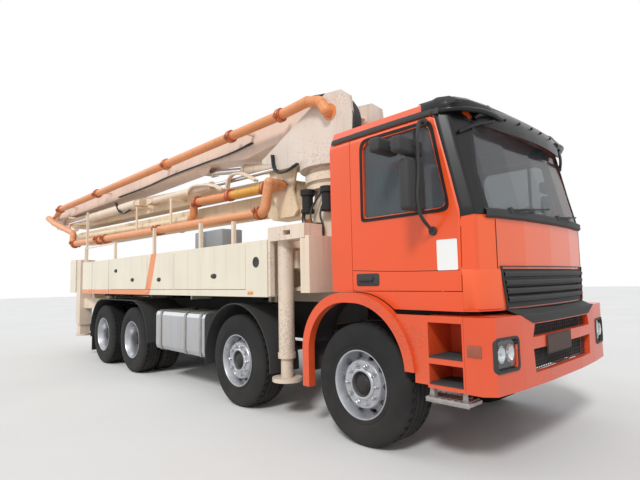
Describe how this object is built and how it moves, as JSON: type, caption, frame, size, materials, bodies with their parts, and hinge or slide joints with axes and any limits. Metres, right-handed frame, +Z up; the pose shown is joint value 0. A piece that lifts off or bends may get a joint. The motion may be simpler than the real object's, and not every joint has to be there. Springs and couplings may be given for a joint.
{
  "type": "concrete pump truck",
  "caption": "Lorry-mounted concrete pump with a folded placing boom, tilting cab, side lockers, outriggers and rear hopper.",
  "frame": {"origin": "centre of the whole vehicle's footprint box on the ground, mirrors included", "axes": "+X forward, +Y to the vehicle's left, +Z up"},
  "size_m": [12.1156, 3.12, 3.83],
  "materials": {
    "cab_paint": "gloss",
    "cream_paint": "gloss",
    "frame_paint": "satin",
    "cast_iron": "cast",
    "tyre": "matt rubber with painted steel rims",
    "black_plastic": "textured",
    "cab_trim": "matt",
    "tinted_glass": "clear, tinted",
    "aluminium": "satin",
    "orange_paint": "worn gloss",
    "chrome_rod": "polished"
  },
  "bodies": {
    "chassis": {"chassis_frame": "frame_paint", "engine": "cast_iron", "axles": "frame_paint", "bumper": "cab_paint", "fenders": "cab_paint", "side_tanks": "aluminium", "mudguards": "black_plastic", "body": "cream_paint", "railings": "cream_paint", "pedestal": "cream_paint", "hopper": "cream_paint", "pump_unit": "frame_paint"},
    "cab": {"cab_shell": "cab_paint", "cab_front": "cab_paint", "grille": "black_plastic", "windscreen": "tinted_glass", "cab_interior": "cab_trim", "sun_visor": "black_plastic"},
    "door_right": {"door_right": "cab_paint", "door_glass_right": "tinted_glass", "mirror_right": "black_plastic"},
    "door_left": {"door_left": "cab_paint", "door_glass_left": "tinted_glass", "mirror_left": "black_plastic"},
    "knuckle_r1": {"knuckle_r1": "frame_paint"},
    "knuckle_l1": {"knuckle_l1": "frame_paint"},
    "knuckle_r2": {"knuckle_r2": "frame_paint"},
    "knuckle_l2": {"knuckle_l2": "frame_paint"},
    "wheel_r1": {"wheel_r1": "tyre"},
    "wheel_l1": {"wheel_l1": "tyre"},
    "wheel_r2": {"wheel_r2": "tyre"},
    "wheel_l2": {"wheel_l2": "tyre"},
    "wheel_r3": {"wheel_r3": "tyre"},
    "wheel_l3": {"wheel_l3": "tyre"},
    "wheel_r4": {"wheel_r4": "tyre"},
    "wheel_l4": {"wheel_l4": "tyre"},
    "flap_1": {"flap_1": "cream_paint"},
    "flap_2": {"flap_2": "cream_paint"},
    "flap_3": {"flap_3": "cream_paint"},
    "outrigger_arm_fr": {"outrigger_arm_fr": "cream_paint"},
    "outrigger_arm_fl": {"outrigger_arm_fl": "cream_paint"},
    "outrigger_arm_rr": {"outrigger_arm_rr": "cream_paint"},
    "outrigger_arm_rl": {"outrigger_arm_rl": "cream_paint"},
    "outrigger_leg_fr": {"outrigger_leg_fr": "cream_paint"},
    "outrigger_leg_fl": {"outrigger_leg_fl": "cream_paint"},
    "outrigger_leg_rr": {"outrigger_leg_rr": "cream_paint"},
    "outrigger_leg_rl": {"outrigger_leg_rl": "cream_paint"},
    "turret": {"turret": "cream_paint"},
    "arm_1": {"arm_1": "cream_paint"},
    "arm_2": {"arm_2": "cream_paint"},
    "arm_3": {"arm_3": "cream_paint"},
    "arm_4": {"arm_4": "cream_paint"},
    "lift_barrel": {"lift_barrel": "cream_paint"},
    "lift_rod": {"lift_rod": "chrome_rod"},
    "knuckle_barrel_a": {"knuckle_barrel_a": "cream_paint"},
    "knuckle_rod_a": {"knuckle_rod_a": "chrome_rod"},
    "knuckle_barrel_b": {"knuckle_barrel_b": "cream_paint"},
    "knuckle_rod_b": {"knuckle_rod_b": "chrome_rod"},
    "hopper_grate": {"hopper_grate": "orange_paint"},
    "agitator": {"agitator": "cast_iron"}
  },
  "joints": [
    {"name": "steer_r1", "type": "hinge", "parent": "chassis", "child": "knuckle_r1", "pos_m": [4.73778, -0.78, 0.536], "axis": [0, 0, 1], "range_deg": [-38, 38]},
    {"name": "wheel_spin_r1", "type": "hinge", "parent": "knuckle_r1", "child": "wheel_r1", "pos_m": [4.73778, -1.025, 0.536], "axis": [0, 1, 0], "continuous": true},
    {"name": "steer_l1", "type": "hinge", "parent": "chassis", "child": "knuckle_l1", "pos_m": [4.73778, 0.78, 0.536], "axis": [0, 0, 1], "range_deg": [-38, 38]},
    {"name": "wheel_spin_l1", "type": "hinge", "parent": "knuckle_l1", "child": "wheel_l1", "pos_m": [4.73778, 1.025, 0.536], "axis": [0, 1, 0], "continuous": true},
    {"name": "steer_r2", "type": "hinge", "parent": "chassis", "child": "knuckle_r2", "pos_m": [2.78778, -0.78, 0.536], "axis": [0, 0, 1], "range_deg": [-38, 38]},
    {"name": "wheel_spin_r2", "type": "hinge", "parent": "knuckle_r2", "child": "wheel_r2", "pos_m": [2.78778, -1.025, 0.536], "axis": [0, 1, 0], "continuous": true},
    {"name": "steer_l2", "type": "hinge", "parent": "chassis", "child": "knuckle_l2", "pos_m": [2.78778, 0.78, 0.536], "axis": [0, 0, 1], "range_deg": [-38, 38]},
    {"name": "wheel_spin_l2", "type": "hinge", "parent": "knuckle_l2", "child": "wheel_l2", "pos_m": [2.78778, 1.025, 0.536], "axis": [0, 1, 0], "continuous": true},
    {"name": "wheel_spin_r3", "type": "hinge", "parent": "chassis", "child": "wheel_r3", "pos_m": [-0.36222, -0.885, 0.536], "axis": [0, 1, 0], "continuous": true},
    {"name": "wheel_spin_l3", "type": "hinge", "parent": "chassis", "child": "wheel_l3", "pos_m": [-0.36222, 0.885, 0.536], "axis": [0, 1, 0], "continuous": true},
    {"name": "wheel_spin_r4", "type": "hinge", "parent": "chassis", "child": "wheel_r4", "pos_m": [-1.71222, -0.885, 0.536], "axis": [0, 1, 0], "continuous": true},
    {"name": "wheel_spin_l4", "type": "hinge", "parent": "chassis", "child": "wheel_l4", "pos_m": [-1.71222, 0.885, 0.536], "axis": [0, 1, 0], "continuous": true},
    {"name": "cab_tilt", "type": "hinge", "parent": "chassis", "child": "cab", "pos_m": [5.95278, 0, 1.1927], "axis": [0, 1, 0], "range_deg": [0, 60]},
    {"name": "door_right_hinge", "type": "hinge", "parent": "cab", "child": "door_right", "pos_m": [5.74278, -1.15, 1.9], "axis": [0, 0, 1], "range_deg": [0, 70]},
    {"name": "door_left_hinge", "type": "hinge", "parent": "cab", "child": "door_left", "pos_m": [5.74278, 1.15, 1.9], "axis": [0, 0, -1], "range_deg": [0, 70]},
    {"name": "flap_1_hinge", "type": "hinge", "parent": "chassis", "child": "flap_1", "pos_m": [-0.47222, -1.25, 1.88], "axis": [-1, 0, 0], "range_deg": [0, 90]},
    {"name": "flap_2_hinge", "type": "hinge", "parent": "chassis", "child": "flap_2", "pos_m": [0.77778, -1.25, 1.88], "axis": [-1, 0, 0], "range_deg": [0, 90]},
    {"name": "flap_3_hinge", "type": "hinge", "parent": "chassis", "child": "flap_3", "pos_m": [2.14278, -1.25, 1.88], "axis": [-1, 0, 0], "range_deg": [0, 90]},
    {"name": "outrigger_slide_fr", "type": "slide", "parent": "chassis", "child": "outrigger_arm_fr", "axis": [0, -1, 0], "range_m": [0, 1.5]},
    {"name": "outrigger_slide_fl", "type": "slide", "parent": "chassis", "child": "outrigger_arm_fl", "axis": [0, 1, 0], "range_m": [0, 1.5]},
    {"name": "outrigger_swing_rr", "type": "hinge", "parent": "chassis", "child": "outrigger_arm_rr", "pos_m": [-2.38222, -0.85, 1.08], "axis": [0, 0, 1], "range_deg": [0, 65]},
    {"name": "outrigger_swing_rl", "type": "hinge", "parent": "chassis", "child": "outrigger_arm_rl", "pos_m": [-2.38222, 0.85, 1.08], "axis": [0, 0, -1], "range_deg": [0, 65]},
    {"name": "leg_drop_fr", "type": "slide", "parent": "outrigger_arm_fr", "child": "outrigger_leg_fr", "axis": [0, 0, -1], "range_m": [0, 0.5]},
    {"name": "leg_drop_fl", "type": "slide", "parent": "outrigger_arm_fl", "child": "outrigger_leg_fl", "axis": [0, 0, -1], "range_m": [0, 0.5]},
    {"name": "leg_drop_rr", "type": "slide", "parent": "outrigger_arm_rr", "child": "outrigger_leg_rr", "axis": [0, 0, -1], "range_m": [0, 0.5]},
    {"name": "leg_drop_rl", "type": "slide", "parent": "outrigger_arm_rl", "child": "outrigger_leg_rl", "axis": [0, 0, -1], "range_m": [0, 0.5]},
    {"name": "boom_slew", "type": "hinge", "parent": "chassis", "child": "turret", "pos_m": [3.38778, 0, 2.875], "axis": [0, 0, -1], "range_deg": [-185, 185]},
    {"name": "boom_lift", "type": "hinge", "parent": "turret", "child": "arm_1", "pos_m": [3.5373, 0.01203, 3.55], "axis": [-0.0802, 0.9968, 0], "range_deg": [0, 85]},
    {"name": "boom_unfold_2", "type": "hinge", "parent": "arm_1", "child": "arm_2", "pos_m": [-5.9321, -0.74986, 3.18], "axis": [-0.0802, 0.9968, 0], "range_deg": [0, 180]},
    {"name": "boom_unfold_3", "type": "hinge", "parent": "arm_2", "child": "arm_3", "pos_m": [2.59036, -0.06416, 2.78], "axis": [0.0802, -0.9968, 0], "range_deg": [0, 180]},
    {"name": "boom_unfold_4", "type": "hinge", "parent": "arm_3", "child": "arm_4", "pos_m": [-4.83564, -0.66164, 2.59], "axis": [0.0802, -0.9968, 0], "range_deg": [0, 180]},
    {"name": "lift_cylinder_pin", "type": "hinge", "parent": "turret", "child": "lift_barrel", "pos_m": [2.87943, -0.0409, 3.05], "axis": [-0.0802, 0.9968, 0], "range_deg": [-5, 95]},
    {"name": "lift_cylinder_rod", "type": "slide", "parent": "lift_barrel", "child": "lift_rod", "axis": [-0.9893, -0.0796, 0.1225], "range_m": [0, 1.2]},
    {"name": "knuckle_cylinder_a_pin", "type": "hinge", "parent": "arm_2", "child": "knuckle_barrel_a", "pos_m": [-1.47518, -0.65712, 3.04], "axis": [-0.0802, 0.9968, 0], "range_deg": [-20, 20]},
    {"name": "knuckle_cylinder_a_rod", "type": "slide", "parent": "knuckle_barrel_a", "child": "knuckle_rod_a", "axis": [-0.9964, -0.0802, -0.0259], "range_m": [-1, 0.05]},
    {"name": "knuckle_cylinder_b_pin", "type": "hinge", "parent": "arm_2", "child": "knuckle_barrel_b", "pos_m": [-0.92695, -0.61301, 3.01], "axis": [-0.0802, 0.9968, 0], "range_deg": [-20, 20]},
    {"name": "knuckle_cylinder_b_rod", "type": "slide", "parent": "knuckle_barrel_b", "child": "knuckle_rod_b", "axis": [0.9968, 0.0802, 0.0054], "range_m": [-0.9, 0.05]},
    {"name": "hopper_grate_hinge", "type": "hinge", "parent": "chassis", "child": "hopper_grate", "pos_m": [-3.52222, 0, 1.472], "axis": [0, 1, 0], "range_deg": [0, 90]},
    {"name": "agitator_spin", "type": "hinge", "parent": "chassis", "child": "agitator", "pos_m": [-3.96222, 0, 1.03], "axis": [0, 1, 0], "continuous": true}
  ],
  "couplings": [
    {"joint": "steer_l1", "follows": "steer_r1", "ratio": 1},
    {"joint": "steer_r2", "follows": "steer_r1", "ratio": 0.75},
    {"joint": "steer_l2", "follows": "steer_r1", "ratio": 0.75},
    {"joint": "boom_slew", "follows": "boom_lift", "ratio": 2.1},
    {"joint": "boom_unfold_2", "follows": "boom_lift", "ratio": 0.08},
    {"joint": "boom_unfold_3", "follows": "boom_lift", "ratio": 0.95},
    {"joint": "lift_cylinder_pin", "follows": "boom_lift", "ratio": 1.0124},
    {"joint": "lift_cylinder_rod", "follows": "boom_lift", "m_per_rad": 0.75328},
    {"joint": "knuckle_cylinder_a_pin", "follows": "boom_lift", "ratio": 0.00394},
    {"joint": "knuckle_cylinder_a_rod", "follows": "boom_lift", "m_per_rad": -0.01939},
    {"joint": "knuckle_cylinder_b_pin", "follows": "boom_lift", "ratio": 0.00607},
    {"joint": "knuckle_cylinder_b_rod", "follows": "boom_lift", "m_per_rad": -0.26818}
  ]
}
